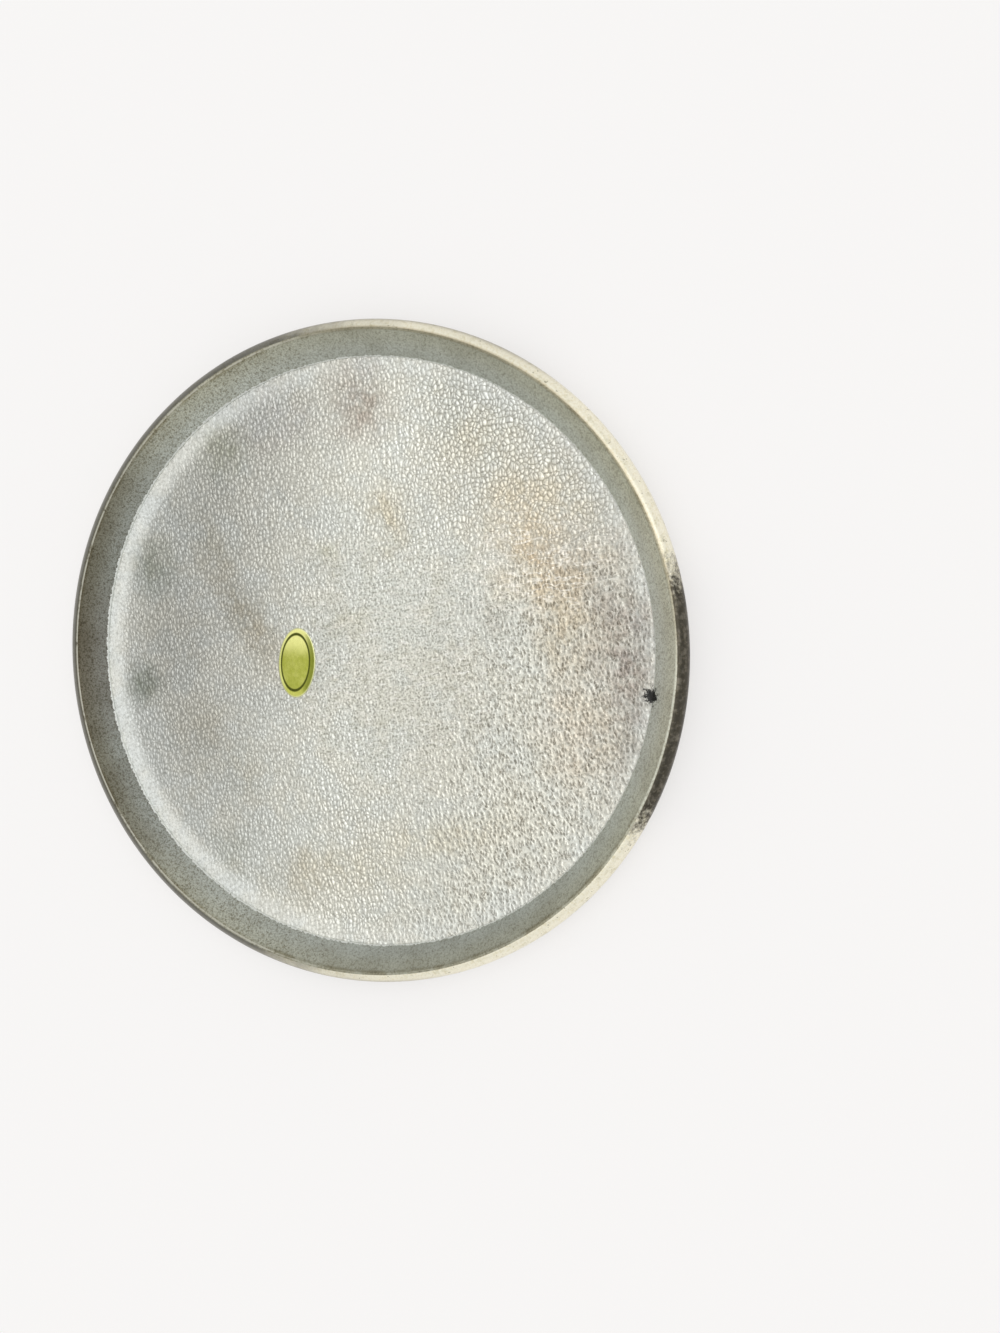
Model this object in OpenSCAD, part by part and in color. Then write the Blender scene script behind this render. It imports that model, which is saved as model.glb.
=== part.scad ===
// Round metal coaster that stands a wine bottle in a shallow pebble-grained well.
// Millimetres, +Z up. The origin is the centre of the felt's underside, where it meets the table.
// A silver-plated ring holds a stack of discs in its rebate: floor plate, backing board and felt.

/* [Rim ring] */
// Diameter over the rolled outer edge
rim_d = 129.6; // [110:0.1:170]
// Radius of the rolled outer edge
edge_r = 2.6; // [2:0.1:4]
// Depth worn off the top of the rolled edge, which leaves the flat crest
crest_wear = 0.1; // [0.05:0.01:0.3]
// Width of the flat crest
crest_w = 0.4; // [0.2:0.05:0.6]
// Depth of the well, from the crest to the foot of the sloping wall
well_depth = 4.7; // [4.2:0.1:8]
// Width of the sloping wall, seen from above
wall_w = 4.6; // [3.4:0.1:6]
// Thickness of the wall's lip, where it lies on the floor plate
lip_t = 0.25; // [0.1:0.05:0.6]
// Width of the ledge that holds the discs down at their edge
ledge_w = 2; // [1:0.1:4]
// Thickness of the upright foot below the ledge
foot_t = 1.7; // [1:0.1:2.4]

/* [Floor plate] */
// Thickness of the grained floor plate
plate_t = 0.8; // [0.5:0.1:2]
// Width of the plate's raised border inside the wall
border_w = 5; // [2:0.5:12]
// Rise of the plate's border above its flat middle
border_rise = 0.4; // [0.1:0.05:1]

/* [Backing board] */
// Thickness of the board that backs the plate
board_t = 1.5; // [1:0.1:5]
// Radial clearance of the plate and the board in the ring
disc_gap = 0.15; // [0.05:0.05:0.4]

/* [Felt pad] */
// Thickness of the felt under the board
felt_t = 1; // [0.8:0.1:3]
// How far the felt stands below the ring's foot
felt_proud = 0.4; // [0.1:0.1:0.6]
// Radial gap round the felt
felt_gap = 0.5; // [0.2:0.1:2]

/* [Foil label] */
// Length of the oval foil label
label_l = 14; // [8:0.5:24]
// Width of the oval foil label
label_w = 8; // [5:0.5:14]
// Thickness of the foil
label_t = 0.1; // [0.05:0.01:0.2]
// Distance of the label from the middle, towards the back
label_back = 15.3; // [0:0.1:35]
// Distance of the label from the middle, towards the left
label_left = 0.4; // [-20:0.1:20]
// Turn of the label clockwise from above, in degrees
label_turn = 10; // [-90:1:90]

/* [Hidden] */

// Length by which a clipping outline runs past what it clips
overrun = 1;
// Sides of a full circle where OpenSCAD draws it
$fn = 180;
// Points round the label's outline
label_points = 72;

// Heights above the table, from the felt up to the crest
board_z = felt_t;
plate_z = board_z + board_t;
floor_z = plate_z + plate_t;
ledge_z = floor_z + border_rise;
crest_z = ledge_z + well_depth;
foot_z = felt_proud;

// Radii from the rolled edge inwards
edge_centre_r = rim_d / 2 - edge_r;
edge_centre_z = crest_z + crest_wear - edge_r;
edge_core_r = edge_centre_r + edge_r / 2;
crest_out_r = edge_centre_r + sqrt(pow(edge_r, 2) - pow(edge_r - crest_wear, 2));
crest_in_r = crest_out_r - crest_w;
wall_foot_r = crest_in_r - wall_w;
rebate_r = wall_foot_r + ledge_w;
foot_mid_r = rebate_r + foot_t / 2;
foot_out_r = rebate_r + foot_t;
disc_r = rebate_r - disc_gap;
felt_r = rebate_r - felt_gap;

// Round of the rolled edge, cut level at the crest and cleared of the well
module rolled_edge_section() {
    intersection() {
        translate([edge_centre_r, edge_centre_z]) circle(r = edge_r);
        polygon([
            [foot_mid_r, foot_z],
            [foot_mid_r, ledge_z],
            [crest_in_r, crest_z],
            [rim_d / 2 + overrun, crest_z],
            [rim_d / 2 + overrun, foot_z],
        ]);
    }
}

// Ledge, sloping wall and upright foot, with the core that carries the rolled edge
module web_section() {
    polygon([
        [rebate_r, foot_z],
        [rebate_r, ledge_z],
        [wall_foot_r, ledge_z],
        [wall_foot_r, ledge_z + lip_t],
        [crest_in_r, crest_z],
        [edge_core_r, edge_centre_z],
        [foot_out_r, ledge_z],
        [foot_out_r, foot_z],
    ]);
}

// Cast ring: sloping wall inside, rolled edge outside, rebate and foot below
module rim_ring() {
    color([0.83, 0.81, 0.74])
    union() {
        rotate_extrude() rolled_edge_section();
        rotate_extrude() web_section();
    }
}

// Grained floor of the well, whose raised border lies under the ring's lip
module floor_plate() {
    color([0.8, 0.8, 0.77])
    rotate_extrude()
    polygon([
        [0, plate_z],
        [disc_r, plate_z],
        [disc_r, ledge_z],
        [wall_foot_r, ledge_z],
        [wall_foot_r - border_w, floor_z],
        [0, floor_z],
    ]);
}

// Stiff board that keeps the thin plate flat
module backing_board() {
    color([0.55, 0.42, 0.3])
    translate([0, 0, board_z]) cylinder(r = disc_r, h = board_t);
}

// Felt glued under the board, on which the coaster stands
module felt_pad() {
    color([0.12, 0.13, 0.13])
    cylinder(r = felt_r, h = felt_t);
}

// Blank oval of gold foil stuck on the floor of the well
module foil_label() {
    color([0.72, 0.73, 0.3])
    translate([-label_left, label_back, floor_z])
    rotate(-label_turn)
    linear_extrude(height = label_t)
    polygon([
        for (i = [0:label_points - 1])
            let (turn = 360 * i / label_points)
            [label_l / 2 * cos(turn), label_w / 2 * sin(turn)]
    ]);
}

rim_ring();
floor_plate();
backing_board();
felt_pad();
foil_label();
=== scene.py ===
import math

import bmesh
import bpy
from mathutils import Matrix, Vector, noise


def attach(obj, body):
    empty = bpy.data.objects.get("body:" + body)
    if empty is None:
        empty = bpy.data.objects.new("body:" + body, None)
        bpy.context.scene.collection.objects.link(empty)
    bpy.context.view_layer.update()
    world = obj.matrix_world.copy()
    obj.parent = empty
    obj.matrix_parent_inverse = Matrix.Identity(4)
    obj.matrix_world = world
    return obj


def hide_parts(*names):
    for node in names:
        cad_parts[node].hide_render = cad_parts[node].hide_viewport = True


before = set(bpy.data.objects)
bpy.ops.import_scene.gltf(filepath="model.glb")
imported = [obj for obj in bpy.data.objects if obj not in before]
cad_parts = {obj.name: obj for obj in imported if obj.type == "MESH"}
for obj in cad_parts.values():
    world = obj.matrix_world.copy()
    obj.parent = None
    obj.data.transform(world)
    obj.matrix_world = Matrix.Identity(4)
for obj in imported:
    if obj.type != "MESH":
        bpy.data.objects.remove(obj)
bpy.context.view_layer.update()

# Camera
# It stands in front of the coaster and looks steeply down, rolled a quarter turn,
# so that the coaster's right-hand side is at the top of the picture.
camera_place = Vector((0.0, -0.11496, 0.27759))
camera_right = Vector((-0.1086, -0.9476, -0.3013))
camera_up = Vector((0.9942, -0.0979, -0.0506))
picture_height = 1333
focal_pixels = 1500
sensor_mm = 36
camera_data = bpy.data.cameras.new("camera")
camera_data.sensor_width = sensor_mm
camera_data.lens = sensor_mm * focal_pixels / picture_height
camera = bpy.data.objects.new("camera", camera_data)
camera_turn = Matrix((camera_right, camera_up, camera_right.cross(camera_up))).transposed()
camera.matrix_world = Matrix.Translation(camera_place) @ camera_turn.to_4x4()
bpy.context.scene.collection.objects.link(camera)
bpy.context.scene.camera = camera

# Studio light
# A dome that is pale overhead and round the horizon, and greyer between, lights the coaster
# evenly. One soft lamp, high in front and a little to the right, picks out grain and edges.
bpy.context.scene.view_settings.view_transform = "Standard"
lamp_strength = 0.62
lamp_spread = math.radians(50)
lamp_side = Vector((0.12, -0.40, 0.91))


def fill(tree, node, inputs):
    """Gives a node's inputs, by name or number, their values, or links them to other sockets."""
    for name, value in dict(inputs).items():
        if isinstance(value, bpy.types.NodeSocket):
            tree.links.new(value, node.inputs[name])
        else:
            node.inputs[name].default_value = value


def put(tree, kind, inputs=(), **settings):
    """Adds a node of this kind, with its settings, and fills its inputs."""
    made = tree.nodes.new(kind)
    for name, value in settings.items():
        setattr(made, name, value)
    fill(tree, made, inputs)
    return made


def parts_of(tree, vector):
    """X, Y and Z of a vector."""
    return put(tree, "ShaderNodeSeparateXYZ", {0: vector}).outputs


def ramp(tree, value, stops):
    """Colour that follows value through stops, the first of which is at 0 and the last at 1."""
    made = put(tree, "ShaderNodeValToRGB", {"Fac": value})
    steps = made.color_ramp.elements
    steps[0].color = (*stops[0][1], 1)
    steps[1].color = (*stops[-1][1], 1)
    for place, colour in stops[1:-1]:
        steps.new(place).color = (*colour, 1)
    return made.outputs[0]


dome = bpy.data.worlds.new("dome")
dome.use_nodes = True
tree = dome.node_tree
sky = put(tree, "ShaderNodeTexCoord").outputs["Generated"]
sky_tones = [(0, (0.93, 0.92, 0.91)), (0.04, (0.91, 0.90, 0.89)), (0.22, (0.63, 0.63, 0.62)),
             (0.5, (0.65, 0.65, 0.64)), (0.86, (0.8, 0.8, 0.79)), (0.96, (1.05, 1.05, 1.03)),
             (1, (1.2, 1.19, 1.17))]
brightness = ramp(tree, parts_of(tree, sky)["Z"], sky_tones)
tree.links.new(brightness, tree.nodes["Background"].inputs["Color"])
bpy.context.scene.world = dome
lamp_data = bpy.data.lights.new("lamp", "SUN")
lamp_data.energy = lamp_strength
lamp_data.angle = lamp_spread
lamp = bpy.data.objects.new("lamp", lamp_data)
lamp.rotation_mode = "QUATERNION"
lamp.rotation_quaternion = lamp_side.to_track_quat("Z", "Y")
bpy.context.scene.collection.objects.link(lamp)

# Table
# A plain pale table top that runs past the picture on all sides. Its glow is for the camera
# and for what mirrors it, and adds no light of its own to the coaster.
table_r = 3.0
table_steps = 128
table_glow = 0.53
table_mesh = bmesh.new()
bmesh.ops.create_circle(table_mesh, cap_ends=True, segments=table_steps, radius=table_r)


def start_material(name):
    """A new material, its node tree and its shader."""
    made = bpy.data.materials.new(name)
    made.use_nodes = True
    return made, made.node_tree, made.node_tree.nodes["Principled BSDF"]


def work_out(tree, operation, first, second=0.0):
    """One sum of two values."""
    return put(tree, "ShaderNodeMath", {0: first, 1: second}, operation=operation).outputs[0]


def finish_piece(name, mesh, material=None):
    """Turns a finished bmesh into an object of this name and links it to the scene."""
    data = bpy.data.meshes.new(name)
    mesh.to_mesh(data)
    mesh.free()
    piece = bpy.data.objects.new(name, data)
    bpy.context.scene.collection.objects.link(piece)
    if material:
        data.materials.append(material)
    return piece


table_paint, tree, shader = start_material("table_paint")
seen_by = put(tree, "ShaderNodeLightPath").outputs
seen = work_out(tree, "MAXIMUM", seen_by["Is Camera Ray"], seen_by["Is Glossy Ray"])
seen = work_out(tree, "MAXIMUM", seen, seen_by["Is Transmission Ray"])
fill(tree, shader, {
    "Base Color": (0.42, 0.417, 0.417, 1),
    "Emission Strength": work_out(tree, "MULTIPLY", seen, table_glow),
    "Emission Color": (1, 0.982, 0.974, 1),
    "Roughness": 0.8,
    "Specular IOR Level": 0.1,
})
table = finish_piece("table", table_mesh, table_paint)

# Rim ring
# The cast brass ring, silver plated: a satin wall slopes down to the floor, the top is a worn
# flat crest, and the outer edge is a polished roll over a short upright foot.
edge_r = 0.0026
edge_centre = Vector((0.0622, 0, 0.0059))
crest_out = Vector((0.06291, 0, 0.0084))
crest_in = Vector((0.06251, 0, 0.0084))
wall_foot = Vector((0.05791, 0, 0.00395))
ledge_in = Vector((0.05791, 0, 0.0037))
ledge_out = Vector((0.05991, 0, 0.0037))
foot_in = Vector((0.05991, 0, 0.0004))
foot_out = Vector((0.06161, 0, 0.0004))
foot_top = Vector((0.06161, 0, 0.003368))
roll_steps = 72
ring_steps = 480
ring_corner = 0.00007
hand_wave = 0.00003
wave_scale = 90
wave_above = 0.0045


def lathe(mesh, corners, corner_round, corner_steps, long_edge, cuts, steps):
    """Rounds an outline's corners, divides its long edges and spins it once round the middle."""
    bmesh.ops.bevel(mesh, geom=corners, offset=corner_round, offset_type="OFFSET",
                    segments=corner_steps, profile=0.5, affect="VERTICES", material=-1)
    long_edges = [e for e in mesh.edges if e.calc_length() > long_edge]
    bmesh.ops.subdivide_edges(mesh, edges=long_edges, cuts=cuts)
    bmesh.ops.spin(mesh, geom=mesh.verts[:] + mesh.edges[:], cent=(0, 0, 0), axis=(0, 0, 1),
                   angle=2 * math.pi, steps=steps, use_merge=True)


ring_mesh = bmesh.new()
bmesh.ops.create_circle(ring_mesh, segments=roll_steps, radius=edge_r)
upright = Matrix.Rotation(math.pi / 2, 3, "X")
bmesh.ops.rotate(ring_mesh, cent=(0, 0, 0), matrix=upright, verts=ring_mesh.verts)
bmesh.ops.translate(ring_mesh, vec=edge_centre, verts=ring_mesh.verts)
chord = crest_out - foot_top
outward = Vector((chord.z, 0, -chord.x)).normalized()
bmesh.ops.bisect_plane(ring_mesh, geom=ring_mesh.verts[:] + ring_mesh.edges[:],
                       plane_co=foot_top, plane_no=outward, clear_inner=True)
roll_ends = sorted((v for v in ring_mesh.verts if len(v.link_edges) == 1), key=lambda v: v.co.z)
corner_places = (crest_in, wall_foot, ledge_in, ledge_out, foot_in, foot_out)
corners = [ring_mesh.verts.new(place) for place in corner_places]
outline = [roll_ends[1], *corners, roll_ends[0]]
for pair in zip(outline, outline[1:]):
    ring_mesh.edges.new(pair)
lathe(ring_mesh, corners + [roll_ends[1]], corner_round=ring_corner, corner_steps=3,
      long_edge=0.0005, cuts=7, steps=ring_steps)
bmesh.ops.recalc_face_normals(ring_mesh, faces=ring_mesh.faces)
for vertex in ring_mesh.verts:
    if vertex.co.z > wave_above:
        vertex.co.z -= hand_wave * (0.5 + 0.5 * noise.noise(vertex.co * wave_scale))
for face in ring_mesh.faces:
    face.smooth = True


def fade(tree, value, start, end, low=0.0, high=1.0, shape="SMOOTHSTEP"):
    """Goes from low, where value is start, to high, where it is end, and stays there."""
    ends = {"Value": value, "From Min": start, "From Max": end, "To Min": low, "To Max": high}
    return put(tree, "ShaderNodeMapRange", ends, interpolation_type=shape).outputs[0]


def vector_math(tree, operation, *vectors):
    """Outputs of one sum of vectors."""
    return put(tree, "ShaderNodeVectorMath", dict(enumerate(vectors)), operation=operation).outputs


def all_of(tree, *shares):
    """Product of shares."""
    result = shares[0]
    for share in shares[1:]:
        result = work_out(tree, "MULTIPLY", result, share)
    return result


def band(tree, value, start, full, easing, end):
    """1 where value is between full and easing, and 0 where it is outside start and end."""
    return all_of(tree, fade(tree, value, start, full), fade(tree, value, easing, end, 1, 0))


def distance_from(tree, place, spot, squeeze=(1, 1, 1)):
    """Distance of place from spot in metres, with each axis multiplied by squeeze."""
    apart = vector_math(tree, "SUBTRACT", place, spot)[0]
    return vector_math(tree, "LENGTH", vector_math(tree, "MULTIPLY", apart, squeeze)[0])["Value"]


def towards(tree, place, side):
    """How far place lies towards a side, which is a direction seen from above."""
    return vector_math(tree, "DOT_PRODUCT", place, side)["Value"]


def mottle(tree, place, scale, detail=4.0, roughness=0.6):
    """Even cloudy noise round 0.5."""
    return put(tree, "ShaderNodeTexNoise", {"Vector": place, "Scale": scale, "Detail": detail,
                                            "Roughness": roughness}).outputs[0]


def roughen(tree, value, cloud, low, high):
    """Adds between low and high to value, as the cloudy noise says."""
    return work_out(tree, "ADD", value, fade(tree, cloud, 0.3, 0.7, low, high))


def blend(tree, share, below, above, **settings):
    """Covers the colour below with the colour above, by share."""
    return put(tree, "ShaderNodeMix", {"Factor": share, 6: below, 7: above}, data_type="RGBA",
               **settings).outputs[2]


def tint(tree, share, colour, tone):
    """Multiplies colour by a tone, by share."""
    return blend(tree, share, colour, (*tone, 1), blend_type="MULTIPLY")


def bump(tree, height, strength, distance):
    """Normals of a relief that is this distance high."""
    return put(tree, "ShaderNodeBump", {"Height": height, "Strength": strength,
                                        "Distance": distance}).outputs[0]


def fleck(tree, place):
    """Share of a small spiky black fleck, stuck where the wall meets the floor at the front."""
    near = distance_from(tree, place, (-0.0136, -0.0561, 0), (1, 1, 0))
    ragged = roughen(tree, near, mottle(tree, place, 1500, 4, 0.7), -0.0010, 0.0012)
    return fade(tree, ragged, 0.0011, 0.0017, 0.97, 0)


ring_plate, tree, shader = start_material("ring_plate")
own = put(tree, "ShaderNodeTexCoord").outputs["Object"]
radius = distance_from(tree, own, (0, 0, 0), (1, 1, 0))
level = parts_of(tree, own)["Z"]
heading = vector_math(tree, "MULTIPLY", own, (1, 1, 0))[0]
heading = vector_math(tree, "NORMALIZE", heading)[0]
blotch = mottle(tree, own, 170)
lumps = mottle(tree, own, 500)
specks = mottle(tree, own, 2000, 2)
sand = mottle(tree, own, 3400, 3)
# the satin wall, with painted reflection and shade: paler at the front than at the back, with a pale
# jagged line at its foot
behind = fade(tree, towards(tree, heading, (0.087, 0.996, 0)), -1, 1, shape="LINEAR")
# painted reflection and shade: the wall's tone by heading, from pale in front to dark behind
wall_painted_shading = ((0.065, 0.745), (0.25, 0.60), (0.5, 0.585), (0.75, 0.70), (0.85, 0.60),
              (0.9, 0.465), (0.935, 0.42), (0.975, 0.37))
wall_stops = [(turn, (tone, tone * 1.05, tone * 0.96)) for turn, tone in wall_painted_shading]
wall_stops = [(0, (0.855, 0.885, 0.825)), *wall_stops, (1, (0.28, 0.28, 0.252))]
satin = ramp(tree, behind, wall_stops)
wall_top = fade(tree, radius, 0.0585, 0.0620)
satin = tint(tree, wall_top, satin, (0.97, 0.94, 0.86))
# painted shade: the top of the wall is darker at the back
shaded = all_of(tree, wall_top, fade(tree, behind, 0.82, 0.97, 0, 0.85))
satin = tint(tree, shaded, satin, (0.62, 0.58, 0.52))
satin = tint(tree, fade(tree, blotch, 0.35, 0.7, 0, 0.35), satin, (0.66, 0.62, 0.56))
sandy = all_of(tree, fade(tree, sand, 0.3, 0.6, 1, 0), fade(tree, behind, 0.50, 0.72, 0.5, 0.74))
satin = tint(tree, sandy, satin, (0.40, 0.39, 0.36))
# painted shade: the wall is darker towards -X
toward_painted_shade = towards(tree, heading, (-1, 0, 0))
satin = tint(tree, fade(tree, toward_painted_shade, -0.4, 0.6, 0, 0.55), satin, (0.80, 0.80, 0.82))
specked = all_of(tree, fade(tree, specks, 0.36, 0.50, 1, 0),
                 fade(tree, behind, 0.50, 0.72, 0.6, 0.9))
satin = tint(tree, specked, satin, (0.62, 0.59, 0.54))
jagged = roughen(tree, radius, mottle(tree, own, 1500, 2), -0.00012, 0.00012)
satin = blend(tree, fade(tree, jagged, 0.05806, 0.05814, 1, 0), satin, (0.86, 0.88, 0.85, 1))
# the polished roll, with painted reflection and shade: pale in front and dark behind, and a band of
# black painted reflection in front
lit_side = roughen(tree, towards(tree, heading, (-0.174, -0.985, 0)), blotch, -0.06, 0.06)
lit_side = fade(tree, lit_side, -0.42, 0.12)
roll = blend(tree, lit_side, (0.22, 0.215, 0.19, 1), (1.0, 0.955, 0.79, 1))
hidden = all_of(tree, fade(tree, level, 0.0058, 0.0070, 1, 0), fade(tree, lit_side, 0, 1, 1, 0))
roll = blend(tree, hidden, roll, (0.78, 0.76, 0.69, 1))
# painted reflection: a black streaky band on the roll in front
painted_dark_reflection = roughen(tree, towards(tree, heading, (-0.230, -0.973, 0)), lumps, -0.013, 0.013)
painted_dark_reflection = roughen(tree, painted_dark_reflection, mottle(tree, own, 1700, 2), 0.008, -0.012)
painted_dark_reflection = fade(tree, painted_dark_reflection, 0.896, 0.950)
streaky = fade(tree, mottle(tree, own, 900, 3), 0.45, 0.66)
black = blend(tree, streaky, (0.080, 0.073, 0.058, 1), (0.17, 0.155, 0.125, 1))
roll = blend(tree, painted_dark_reflection, roll, black)
roll = tint(tree, fade(tree, sand, 0.35, 0.6, 0.15, 0), roll, (0.6, 0.56, 0.45))
roll = tint(tree, fade(tree, specks, 0.36, 0.50, 0.35, 0), roll, (0.80, 0.74, 0.55))
patches = fade(tree, mottle(tree, own, 520, 4, 0.75), 0.52, 0.66, 0, 0.7)
roll = tint(tree, patches, roll, (0.78, 0.77, 0.69))
nicks = fade(tree, mottle(tree, own, 1000, 2), 0.66, 0.72, 0, 0.75)
roll = tint(tree, nicks, roll, (0.40, 0.38, 0.30))
# painted shade: the lower part of the roll is darker at the sides, away from front and back
painted_low_shade = all_of(tree, fade(tree, level, 0.0061, 0.0084, 1, 0),
                   fade(tree, towards(tree, heading, (-0.3, -0.954, 0)), 0.25, 0.55, 1, 0),
                   fade(tree, towards(tree, heading, (0, 1, 0)), 0.3, 0.8, 1, 0))
roll = tint(tree, painted_low_shade, roll, (0.40, 0.39, 0.37))
# the crest where the two meet, with grime inside it and painted highlight lines on it
on_wall = fade(tree, radius, 0.06283, 0.06301, 1, 0)
plating = blend(tree, on_wall, roll, satin)
right_front = towards(tree, heading, (0.707, -0.707, 0))
grime = all_of(tree, fade(tree, radius, 0.0618, 0.0624), on_wall,
               fade(tree, blotch, 0.4, 0.6, 0.45, 1), fade(tree, painted_dark_reflection, 0, 1, 1, 0.25),
               fade(tree, right_front, 0.3, 0.8, 1, 0.35))
plating = tint(tree, grime, plating, (0.68, 0.64, 0.55))
# painted highlight: a pale line along the crest, strongest behind
crest = all_of(tree, band(tree, radius, 0.06240, 0.06250, 0.06268, 0.06285),
               fade(tree, lumps, 0.35, 0.5, 0.2, 1), fade(tree, lit_side, 0.2, 0.8, 0.8, 0.1))
plating = blend(tree, crest, plating, (0.52, 0.51, 0.44, 1))
# painted highlight: pale glints along the crest within the dark band in front
painted_glint_line = all_of(tree, band(tree, radius, 0.06245, 0.06255, 0.06272, 0.06285), painted_dark_reflection,
                     fade(tree, specks, 0.4, 0.6, 0.2, 1))
plating = blend(tree, painted_glint_line, plating, (0.60, 0.61, 0.52, 1))
dull_line = all_of(tree, band(tree, radius, 0.0623, 0.0626, 0.0629, 0.0634),
                   fade(tree, right_front, 0.5, 0.8))
plating = tint(tree, dull_line, plating, (0.64, 0.60, 0.53))
# the fleck, and the plain foot below
plating = blend(tree, fleck(tree, own), plating, (0.02, 0.02, 0.02, 1))
foot = blend(tree, fade(tree, blotch, 0.3, 0.7), (0.66, 0.64, 0.58, 1), (0.74, 0.72, 0.66, 1))
plating = blend(tree, fade(tree, level, 0.0032, 0.0036, 1, 0), plating, foot)
# painted reflection: where the roll is painted pale in front it is less metallic, so that its pale
# colour shows as a bright reflection
painted_glare_share = all_of(tree, lit_side, work_out(tree, "SUBTRACT", 1, on_wall),
              work_out(tree, "SUBTRACT", 1, painted_dark_reflection))
fill(tree, shader, {
    "Base Color": plating,
    "Roughness": roughen(tree, fade(tree, on_wall, 0, 1, 0.33, 0.46), blotch, -0.05, 0.05),
    "Metallic": fade(tree, painted_glare_share, 0, 1, 1, 0.42),
    "Normal": bump(tree, sand, 0.4, 0.00004),
})
ring = finish_piece("coaster_ring", ring_mesh, ring_plate)
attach(ring, "root")
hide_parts("rim_ring")

# Floor plate
# The thin brass disc under the ring's lip, embossed with a fine leather grain and silver
# plated. Bottles have worn and stained its middle, and its raised border has stayed white.
plate_r = 0.05976
plate_under = 0.0025
floor_z = 0.0033
border_z = 0.0037
border_in = 0.05291
border_out = 0.05791
plate_cells = 304
grain_depth = 0.00007
worn_depth = 0.35 * grain_depth


def round_grid(cells, size_x, size_y):
    """A flat disc of square cells, whose outermost cells follow its round edge."""
    mesh = bmesh.new()
    bmesh.ops.create_grid(mesh, x_segments=cells, y_segments=cells, size=1)
    for vertex in mesh.verts:
        across, along = vertex.co.x, vertex.co.y
        if abs(across) > abs(along):
            turn = math.pi / 4 * along / across
            vertex.co = Vector((math.cos(turn), math.sin(turn), 0)) * across
        elif along:
            turn = math.pi / 4 * across / along
            vertex.co = Vector((math.sin(turn), math.cos(turn), 0)) * along
    bmesh.ops.scale(mesh, vec=(size_x, size_y, 1), verts=mesh.verts)
    return mesh


def close_below(mesh, under):
    """Draws the open edge of a disc down to the height under, and closes it there."""
    edge = [e for e in mesh.edges if e.is_boundary]
    skirt = bmesh.ops.extrude_edge_only(mesh, edges=edge)["geom"]
    for part in skirt:
        if isinstance(part, bmesh.types.BMVert):
            part.co.z = under
    hem = [part for part in skirt if isinstance(part, bmesh.types.BMEdge)]
    bmesh.ops.contextual_create(mesh, geom=hem)
    bmesh.ops.recalc_face_normals(mesh, faces=mesh.faces)
    for face in mesh.faces:
        face.smooth = face.normal.z > 0.5


plate_mesh = round_grid(plate_cells, plate_r, plate_r)
for vertex in plate_mesh.verts:
    rise = min(1, max(0, (vertex.co.length - border_in) / (border_out - border_in)))
    vertex.co.z = floor_z + (border_z - floor_z) * rise * rise * (3 - 2 * rise)
close_below(plate_mesh, plate_under)
plate = finish_piece("grained_floor", plate_mesh)


def drift(tree, place, scale, detail, reach):
    """Sideways moves that differ from place to place, by half of reach at most."""
    moves = put(tree, "ShaderNodeTexNoise", {"Vector": place, "Scale": scale, "Detail": detail})
    moves = vector_math(tree, "SUBTRACT", moves.outputs["Color"], (0.5, 0.5, 0.5))[0]
    return vector_math(tree, "MULTIPLY", moves, (reach, reach, 0))[0]


def leather_grain(tree, place):
    """Distance of place from a pebble's middle, and from the groove round the pebble."""
    right, back, _ = parts_of(tree, place)
    finer = work_out(tree, "ADD", work_out(tree, "MULTIPLY", back, 1.25), 0.87)
    long = work_out(tree, "MULTIPLY", right, 0.58)
    wide = work_out(tree, "MULTIPLY", back, finer)
    drawn_out = put(tree, "ShaderNodeCombineXYZ", {"X": long, "Y": wide}).outputs[0]
    uneven = vector_math(tree, "ADD", drawn_out, drift(tree, place, 420, 1, 0.0010))[0]
    cells = {"Vector": uneven, "Scale": 1650, "Randomness": 0.9}
    middle = put(tree, "ShaderNodeTexVoronoi", cells, voronoi_dimensions="2D", feature="F1")
    groove = put(tree, "ShaderNodeTexVoronoi", cells, voronoi_dimensions="2D",
                 feature="DISTANCE_TO_EDGE")
    return middle.outputs["Distance"], groove.outputs["Distance"]


def pebble_tops(tree, middle):
    """Height of the grain, from 0 in its grooves to 1 on top of its pebbles."""
    return fade(tree, middle, 0.10, 0.60, 1, 0)


def worn_middle(tree, place):
    """How much bottles have rubbed the grain: 1 in the middle of the floor, 0 further out."""
    near = distance_from(tree, place, (-0.002, -0.007, 0), (1, 1, 0))
    ragged = roughen(tree, near, mottle(tree, place, 260, 4, 0.7), -0.012, 0.012)
    return fade(tree, ragged, 0.010, 0.034, 1, 0)


stamp = bpy.data.node_groups.new("leather_stamp", "GeometryNodeTree")
for way in ("INPUT", "OUTPUT"):
    stamp.interface.new_socket(name="Geometry", in_out=way, socket_type="NodeSocketGeometry")
blank = put(stamp, "NodeGroupInput").outputs[0]
spot = put(stamp, "GeometryNodeInputPosition").outputs[0]
sunk = work_out(stamp, "SUBTRACT", pebble_tops(stamp, leather_grain(stamp, spot)[0]), 1)
depth = fade(stamp, worn_middle(stamp, spot), 0, 1, grain_depth, worn_depth)
sunk = work_out(stamp, "MULTIPLY", sunk, depth)
sink = put(stamp, "ShaderNodeCombineXYZ", {"Z": sunk}).outputs[0]
facing = parts_of(stamp, put(stamp, "GeometryNodeInputNormal").outputs[0])["Z"]
upper = put(stamp, "FunctionNodeCompare", {0: facing, 1: 0.5}, operation="GREATER_THAN")
pressed = put(stamp, "GeometryNodeSetPosition", {"Geometry": blank, "Offset": sink,
                                                 "Selection": upper.outputs[0]}).outputs[0]
put(stamp, "NodeGroupOutput", {0: pressed})
plate.modifiers.new("leather_stamp", "NODES").node_group = stamp
pressed_plate = plate.evaluated_get(bpy.context.evaluated_depsgraph_get())
stamped = bpy.data.meshes.new_from_object(pressed_plate)
plate.modifiers.clear()
plate.data = stamped

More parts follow.
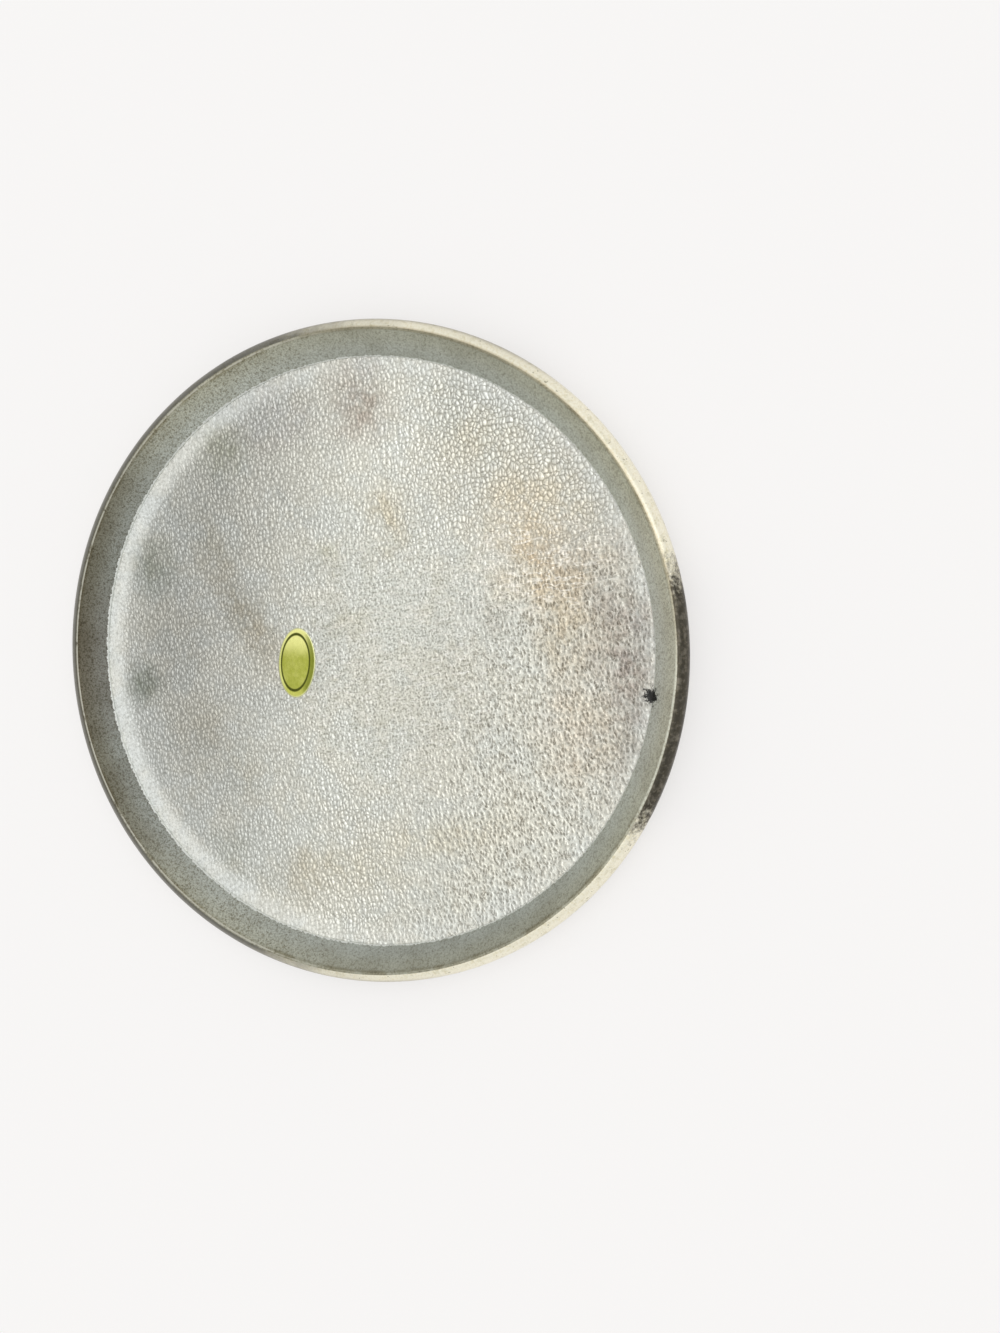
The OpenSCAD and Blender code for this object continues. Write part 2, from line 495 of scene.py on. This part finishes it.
grained_plate, tree, shader = start_material("grained_plate")
own = put(tree, "ShaderNodeTexCoord").outputs["Object"]
right, back, _ = parts_of(tree, own)
radius = distance_from(tree, own, (0, 0, 0), (1, 1, 0))
middle, groove = leather_grain(tree, own)
astray = vector_math(tree, "ADD", own, drift(tree, own, 130, 4, 0.012))[0]
backward = towards(tree, astray, (0.3, 0.954, 0))
rightward = parts_of(tree, astray)["X"]
clouds = mottle(tree, own, 90, 5)
# bright plate in front and dull plate behind, with the border frosted white
plating = blend(tree, fade(tree, backward, -0.002, 0.042),
                (0.93, 0.935, 0.865, 1), (0.555, 0.56, 0.527, 1))
plating = tint(tree, fade(tree, clouds, 0.35, 0.65, 0.1, 0), plating, (0.6, 0.62, 0.62))
frosted = all_of(tree, fade(tree, radius, 0.041, 0.055, 0, 0.3), fade(tree, back, 0, 0.05))
white = all_of(tree, fade(tree, radius, 0.0522, 0.0568), fade(tree, back, 0, 0.052, 0.4, 1))
white = work_out(tree, "MAXIMUM", white, frosted)
plating = blend(tree, white, plating, (0.86, 0.88, 0.85, 1))
# dark grooves round the pebbles, and dark slanted strokes at the front on the left: tarnish in the
# hollows, and painted shade of the relief
rubbed = worn_middle(tree, astray)
pitted = all_of(tree, fade(tree, backward, -0.034, 0.002, 1, 0),
                fade(tree, rightward, 0.006, 0.030, 1, 0))
bend = work_out(tree, "SUBTRACT", right, 0.02)
bend = all_of(tree, bend, bend, 3.2)
combed = put(tree, "ShaderNodeCombineXYZ", {"X": work_out(tree, "MULTIPLY", right, 0.37),
                                            "Y": work_out(tree, "ADD", back, bend)}).outputs[0]
strokes = fade(tree, mottle(tree, combed, 1750, 3), 0.40, 0.47, 1, 0)
pit_tarnish_and_shade = work_out(tree, "MAXIMUM", fade(tree, middle, 0.12, 0.46, 0.85, 0), strokes)
pit_tarnish_and_shade = all_of(tree, pit_tarnish_and_shade, pitted, fade(tree, mottle(tree, own, 600, 2), 0.36, 0.58, 0.35, 1))
far_out = work_out(tree, "MULTIPLY", work_out(tree, "ABSOLUTE", rightward), 0.3)
calm = fade(tree, work_out(tree, "ADD", backward, far_out), -0.004, 0.022)
# painted shade: the grooves are darker still near the edge at the front right
painted_edge_shade = fade(tree, towards(tree, own, (0.6, -0.8, 0)), 0.030, 0.045, 0, 0.16)
groove_tone = work_out(tree, "ADD", fade(tree, calm, 0, 1, 0.66, 0.40), painted_edge_shade)
changed = work_out(tree, "MAXIMUM", pitted, rubbed)
groove_tarnish_and_shade = all_of(tree, fade(tree, groove, 0, 0.26, groove_tone, 0),
                 fade(tree, changed, 0, 1, 1, 0.35))
hollow_tarnish_and_shade = all_of(tree, work_out(tree, "MAXIMUM", pit_tarnish_and_shade, groove_tarnish_and_shade), fade(tree, white, 0, 1, 1, 0.4))
plating = tint(tree, hollow_tarnish_and_shade, plating, (0.38, 0.36, 0.33))
# painted highlights: pale pebble tops, and a pale net between the strokes
painted_top_highlight = all_of(tree, fade(tree, middle, 0.26, 0.52, fade(tree, calm, 0, 1, 0.32, 0.22), 0.05),
                   fade(tree, changed, 0, 1, 1, 0))
plating = blend(tree, painted_top_highlight, plating, (0.97, 0.97, 0.93, 1))
plating = tint(tree, rubbed, plating, (0.95, 0.95, 0.945))
painted_net_highlight = all_of(tree, fade(tree, groove, 0.03, 0.12, 0.4, 0), pitted)
plating = blend(tree, painted_net_highlight, plating, (0.93, 0.90, 0.82, 1))
# soft clouds of grey, blue and cream, and fine scuffs that are strongest in the middle
cloudlets = mottle(tree, own, 300, 5, 0.7)
plating = tint(tree, fade(tree, cloudlets, 0.34, 0.56, 0.4, 0), plating, (0.84, 0.83, 0.80))
hue = mottle(tree, own, 120, 3)
plating = tint(tree, fade(tree, hue, 0.40, 0.62), plating, (0.975, 0.988, 1.0))
plating = tint(tree, fade(tree, hue, 0.40, 0.62, 1, 0), plating, (1.0, 0.99, 0.97))
wiped = mottle(tree, vector_math(tree, "MULTIPLY", own, (1, 0.22, 1))[0], 1500, 3, 0.7)
pale_wipes = all_of(tree, fade(tree, wiped, 0.56, 0.66, 0, 0.6), rubbed)
plating = blend(tree, pale_wipes, plating, (1.0, 0.99, 0.95, 1))
dark_wipes = all_of(tree, fade(tree, wiped, 0.32, 0.44, 0.7, 0), rubbed)
plating = tint(tree, dark_wipes, plating, (0.70, 0.69, 0.64))
scuffs = all_of(tree, fade(tree, mottle(tree, own, 2100, 4, 0.75), 0.36, 0.56, 1, 0),
                fade(tree, rubbed, 0, 1, 0.5, 1))
plating = tint(tree, scuffs, plating, (0.46, 0.45, 0.43))
# stains: for each the place read, its middle, its two half widths and its tone
broken = fade(tree, mottle(tree, own, 420, 4, 0.7), 0.36, 0.60, 0.45, 1)
streak = put(tree, "ShaderNodeMapping", {"Vector": own, "Location": (0.0092, 0.0250, 0),
                                         "Rotation": (0, 0, 0.487)}, vector_type="TEXTURE").outputs[0]
stains = (
    # tan and rust, where wine has run to the front
    (astray, (0.014, -0.036), (0.0105, 0.010), (0.94, 0.82, 0.68)),
    (astray, (0.014, -0.045), (0.0100, 0.010), (0.86, 0.80, 0.74)),
    (astray, (0.025, -0.036), (0.0100, 0.018), (1.0, 0.93, 0.83)),
    (astray, (0.002, -0.041), (0.0130, 0.010), (0.93, 0.85, 0.75)),
    (astray, (-0.006, -0.052), (0.0210, 0.008), (0.60, 0.54, 0.53)),
    (astray, (-0.020, -0.041), (0.0160, 0.011), (0.95, 0.88, 0.82)),
    (astray, (-0.022, -0.048), (0.0090, 0.007), (0.80, 0.78, 0.76)),
    (astray, (0.0262, -0.0073), (0.0080, 0.0052), (0.92, 0.86, 0.76)),
    (astray, (0.039, -0.026), (0.0080, 0.010), (0.97, 0.94, 0.88)),
    (astray, (-0.037, -0.012), (0.0060, 0.020), (0.97, 0.93, 0.86)),
    (astray, (-0.043, 0.011), (0.0060, 0.018), (0.96, 0.93, 0.87)),
    (astray, (0.004, -0.048), (0.0300, 0.014), (0.93, 0.92, 0.91)),
    (astray, (-0.033, 0.019), (0.0180, 0.018), (0.92, 0.92, 0.92)),
    # brown and mauve, at the right-hand edge and beside the label
    (astray, (0.0495, -0.0052), (0.0100, 0.0085), (0.70, 0.64, 0.61)),
    (astray, (0.0445, -0.0030), (0.0065, 0.0060), (0.90, 0.87, 0.86)),
    (astray, (0.0480, 0.0140), (0.0090, 0.0120), (0.88, 0.86, 0.87)),
    (astray, (0.0480, -0.0230), (0.0080, 0.008), (0.92, 0.92, 0.91)),
    (streak, (0, 0), (0.0170, 0.0054), (0.75, 0.70, 0.62)),
    # dark grey-green spots, and soft grey and brown clouds, along the back
    (own, (0.0225, 0.0450), (0.0085, 0.0066), (0.60, 0.62, 0.58)),
    (own, (-0.0010, 0.0505), (0.0058, 0.0052), (0.48, 0.50, 0.45)),
    (own, (0.0437, 0.0265), (0.0075, 0.0070), (0.68, 0.69, 0.62)),
    (astray, (0.0340, 0.0350), (0.0130, 0.0120), (0.86, 0.865, 0.865)),
    (astray, (0.0250, 0.0307), (0.0070, 0.0065), (0.90, 0.88, 0.83)),
    (astray, (0.0080, 0.0440), (0.0180, 0.0090), (0.88, 0.87, 0.85)),
    (astray, (-0.0203, 0.0298), (0.0080, 0.0070), (0.90, 0.89, 0.86)),
    (astray, (-0.0130, 0.0383), (0.0090, 0.0070), (0.90, 0.88, 0.84)),
    (astray, (-0.0368, 0.0350), (0.0070, 0.0060), (0.84, 0.84, 0.81)),
    (astray, (-0.0450, 0.0200), (0.0080, 0.0110), (0.87, 0.85, 0.82)),
    # small marks in the middle
    (astray, (0.0210, 0.0056), (0.0030, 0.0030), (0.86, 0.85, 0.77)),
    (astray, (0.0071, 0.0015), (0.0030, 0.0070), (0.92, 0.90, 0.84)),
    (astray, (0.0045, -0.0270), (0.0032, 0.0032), (0.86, 0.84, 0.82)),
    (astray, (-0.0035, -0.0255), (0.0026, 0.0026), (0.86, 0.84, 0.82)),
)
for place, spot, half, tone in stains:
    near = distance_from(tree, place, (*spot, 0), (1 / half[0], 1 / half[1], 0))
    plating = tint(tree, all_of(tree, fade(tree, near, 0, 1.2, 1, 0), broken), plating, tone)
# thin pale lines painted as glints along creases, in the tan stain and in the worn middle, and the
# fleck
painted_crease_glints = mottle(tree, vector_math(tree, "MULTIPLY", own, (1, 0.30, 1))[0], 560, 3, 0.55)
painted_crease_glints = work_out(tree, "ABSOLUTE", work_out(tree, "SUBTRACT", painted_crease_glints, 0.5))
near_tan = distance_from(tree, astray, (0.013, -0.036, 0), (1, 0.6, 0))
creased = work_out(tree, "MAXIMUM", fade(tree, near_tan, 0.004, 0.015, 0.6, 0),
                   work_out(tree, "MULTIPLY", rubbed, 0.3))
painted_crease_glints = all_of(tree, fade(tree, painted_crease_glints, 0.004, 0.030, 1, 0), creased)
plating = blend(tree, painted_crease_glints, plating, (1.0, 0.96, 0.88, 1))
plating = blend(tree, fleck(tree, own), plating, (0.02, 0.02, 0.02, 1))
softened = work_out(tree, "MAXIMUM", rubbed, work_out(tree, "MULTIPLY", calm, 0.42))
crisp = all_of(tree, fade(tree, white, 0, 1, 1, 0.2), fade(tree, softened, 0, 1, 1, 0.3))
fill(tree, shader, {
    "Base Color": plating,
    "Metallic": fade(tree, white, 0, 1, 1, 0.45),
    "Roughness": fade(tree, clouds, 0.3, 0.7, 0.44, 0.54),
    "Normal": bump(tree, pebble_tops(tree, middle), crisp, 0.0001),
})
plate.data.materials.clear()
plate.data.materials.append(grained_plate)
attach(plate, "root")
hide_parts("floor_plate")

# Foil label
# A small oval of glossy gold foil, bare but for a thin dark oval line, pressed on by hand so
# that its rim stands up a little and the grain shows through it.
label_place = Vector((-0.0004, 0.0153, 0))
label_turn = math.radians(-10)
label_long = 0.007
label_wide = 0.004
foil_lift = 0.00006
foil_dome = 0.00005
foil_crumple = 0.00003
rim_height = 0.00006
rim_place = 0.93
rim_width = 0.08
label_cells = 64
label_mesh = round_grid(label_cells, 1, 1)
for vertex in label_mesh.verts:
    out = vertex.co.length
    rim = rim_height * max(0.0, 1 - abs(out - rim_place) / rim_width)
    folds = noise.noise(Vector((vertex.co.x * 3.4, vertex.co.y * 2.2, 4.2)))
    raised = foil_lift + foil_dome * (1 - out * out) + rim + foil_crumple * folds * (1 - out)
    vertex.co.z = floor_z + raised
bmesh.ops.scale(label_mesh, vec=(label_long, label_wide, 1), verts=label_mesh.verts)
close_below(label_mesh, floor_z)
askew = Matrix.Rotation(label_turn, 3, "Z")
bmesh.ops.rotate(label_mesh, cent=(0, 0, 0), matrix=askew, verts=label_mesh.verts)
bmesh.ops.translate(label_mesh, vec=label_place, verts=label_mesh.verts)

gold_foil, tree, shader = start_material("gold_foil")
own = put(tree, "ShaderNodeTexCoord").outputs["Object"]
on_label = put(tree, "ShaderNodeMapping", {"Vector": own, "Location": label_place,
                                           "Rotation": (0, 0, label_turn)},
               vector_type="TEXTURE").outputs[0]
along, across, _ = parts_of(tree, on_label)
clouds = mottle(tree, own, 420, 3)
foil = blend(tree, fade(tree, clouds, 0.35, 0.65), (0.42, 0.45, 0.07, 1), (0.54, 0.56, 0.13, 1))
# painted highlights: the foil is paler towards both ends
foil = blend(tree, fade(tree, along, 0.0005, 0.0050, 0, 0.9), foil, (0.95, 0.94, 0.36, 1))
foil = blend(tree, fade(tree, along, -0.0062, -0.0045, 0.5, 0), foil, (0.72, 0.72, 0.17, 1))
oval = distance_from(tree, on_label, (0.0001, 0.0003, 0), (1 / 0.0058, 1 / 0.00315, 0))
border = fade(tree, oval, 0.97, 1.03)
# painted shade and highlight: the raised rim is dark on one side and pale on the other
painted_rim_shade = all_of(tree, border, fade(tree, across, -0.0028, -0.0010, 0.75, 0))
foil = blend(tree, painted_rim_shade, foil, (0.20, 0.23, 0.02, 1))
painted_rim_highlight = all_of(tree, border, fade(tree, across, 0.0014, 0.0030, 0, 0.6))
foil = blend(tree, painted_rim_highlight, foil, (0.80, 0.82, 0.32, 1))
foil = blend(tree, band(tree, oval, 0.90, 0.95, 1.0, 1.05), foil, (0.075, 0.085, 0.008, 1))
cut = distance_from(tree, on_label, (0, 0, 0), (1 / label_long, 1 / label_wide, 0))
foil = blend(tree, fade(tree, cut, 0.94, 0.98, 0, 0.7), foil, (0.86, 0.86, 0.55, 1))
fill(tree, shader, {
    "Base Color": foil,
    "Metallic": 0.85,
    "Roughness": fade(tree, clouds, 0.3, 0.7, 0.22, 0.34),
    "Normal": bump(tree, pebble_tops(tree, leather_grain(tree, own)[0]), 0.3, 0.00003),
})
label = finish_piece("gold_foil_label", label_mesh, gold_foil)
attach(label, "root")
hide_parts("foil_label")

# Backing board
# A disc of pressed brown fibreboard, cut a little smaller than the ring and glued under the
# plate. Only its edge shows, from below, in the narrow gap round the felt.
board, tree, shader = start_material("board")
own = put(tree, "ShaderNodeTexCoord").outputs["Object"]
fibres = mottle(tree, vector_math(tree, "MULTIPLY", own, (1, 3.5, 1))[0], 900, 5)
chips = mottle(tree, own, 260, 3)
pulp = blend(tree, fade(tree, fibres, 0.35, 0.65), (0.22, 0.135, 0.075, 1), (0.40, 0.27, 0.16, 1))
pulp = blend(tree, fade(tree, chips, 0.45, 0.7, 0, 0.35), pulp, (0.55, 0.42, 0.28, 1))
fill(tree, shader, {
    "Base Color": pulp,
    "Specular IOR Level": 0.3,
    "Roughness": fade(tree, fibres, 0.3, 0.7, 0.75, 0.9),
    "Normal": bump(tree, fibres, 0.5, 0.00008),
})
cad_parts["backing_board"].data.materials.clear()
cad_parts["backing_board"].data.materials.append(board)

# Felt pad
# A disc of short charcoal wool felt, die cut and glued under the board. It stands a little
# below the ring's foot, so that the coaster rests on it and not on metal.
felt_r = 0.05941
felt_height = 0.001
felt_soften = 0.00025
felt_tuft = 0.00012
tuft_scale = 2600
felt_steps = 360
felt_mesh = bmesh.new()
felt_places = ((0, 0, 0), (felt_r, 0, 0), (felt_r, 0, felt_height), (0, 0, felt_height))
felt_line = [felt_mesh.verts.new(place) for place in felt_places]
for pair in zip(felt_line, felt_line[1:]):
    felt_mesh.edges.new(pair)
lathe(felt_mesh, felt_line[1:3], corner_round=felt_soften, corner_steps=4,
      long_edge=0.01, cuts=19, steps=felt_steps)
bmesh.ops.remove_doubles(felt_mesh, verts=felt_mesh.verts, dist=0.000001)
for vertex in felt_mesh.verts:
    if vertex.co.xy.length > felt_r - 2 * felt_soften:
        tuft = 0.5 + 0.5 * noise.noise(vertex.co * tuft_scale)
        vertex.co.xy *= 1 - felt_tuft * tuft / felt_r
bmesh.ops.recalc_face_normals(felt_mesh, faces=felt_mesh.faces)
for face in felt_mesh.faces:
    face.smooth = True

felt, tree, shader = start_material("felt")
own = put(tree, "ShaderNodeTexCoord").outputs["Object"]
matted = mottle(tree, own, 700, 6, 0.7)
hairs = put(tree, "ShaderNodeTexWave", {"Vector": own, "Scale": 900, "Distortion": 14, "Detail": 3,
                                        "Detail Scale": 2.4}).outputs["Fac"]
wool = blend(tree, fade(tree, matted, 0.35, 0.7), (0.018, 0.020, 0.021, 1), (0.050, 0.053, 0.054, 1))
wool = blend(tree, fade(tree, hairs, 0.75, 1, 0, 0.5), wool, (0.085, 0.088, 0.088, 1))
fill(tree, shader, {
    "Base Color": wool,
    "Roughness": 0.95,
    "Specular IOR Level": 0.15,
    "Sheen Weight": 0.35,
    "Sheen Roughness": 0.5,
    "Normal": bump(tree, matted, 0.8, 0.0002),
})
pad = finish_piece("felt_disc", felt_mesh, felt)
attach(pad, "root")
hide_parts("felt_pad")
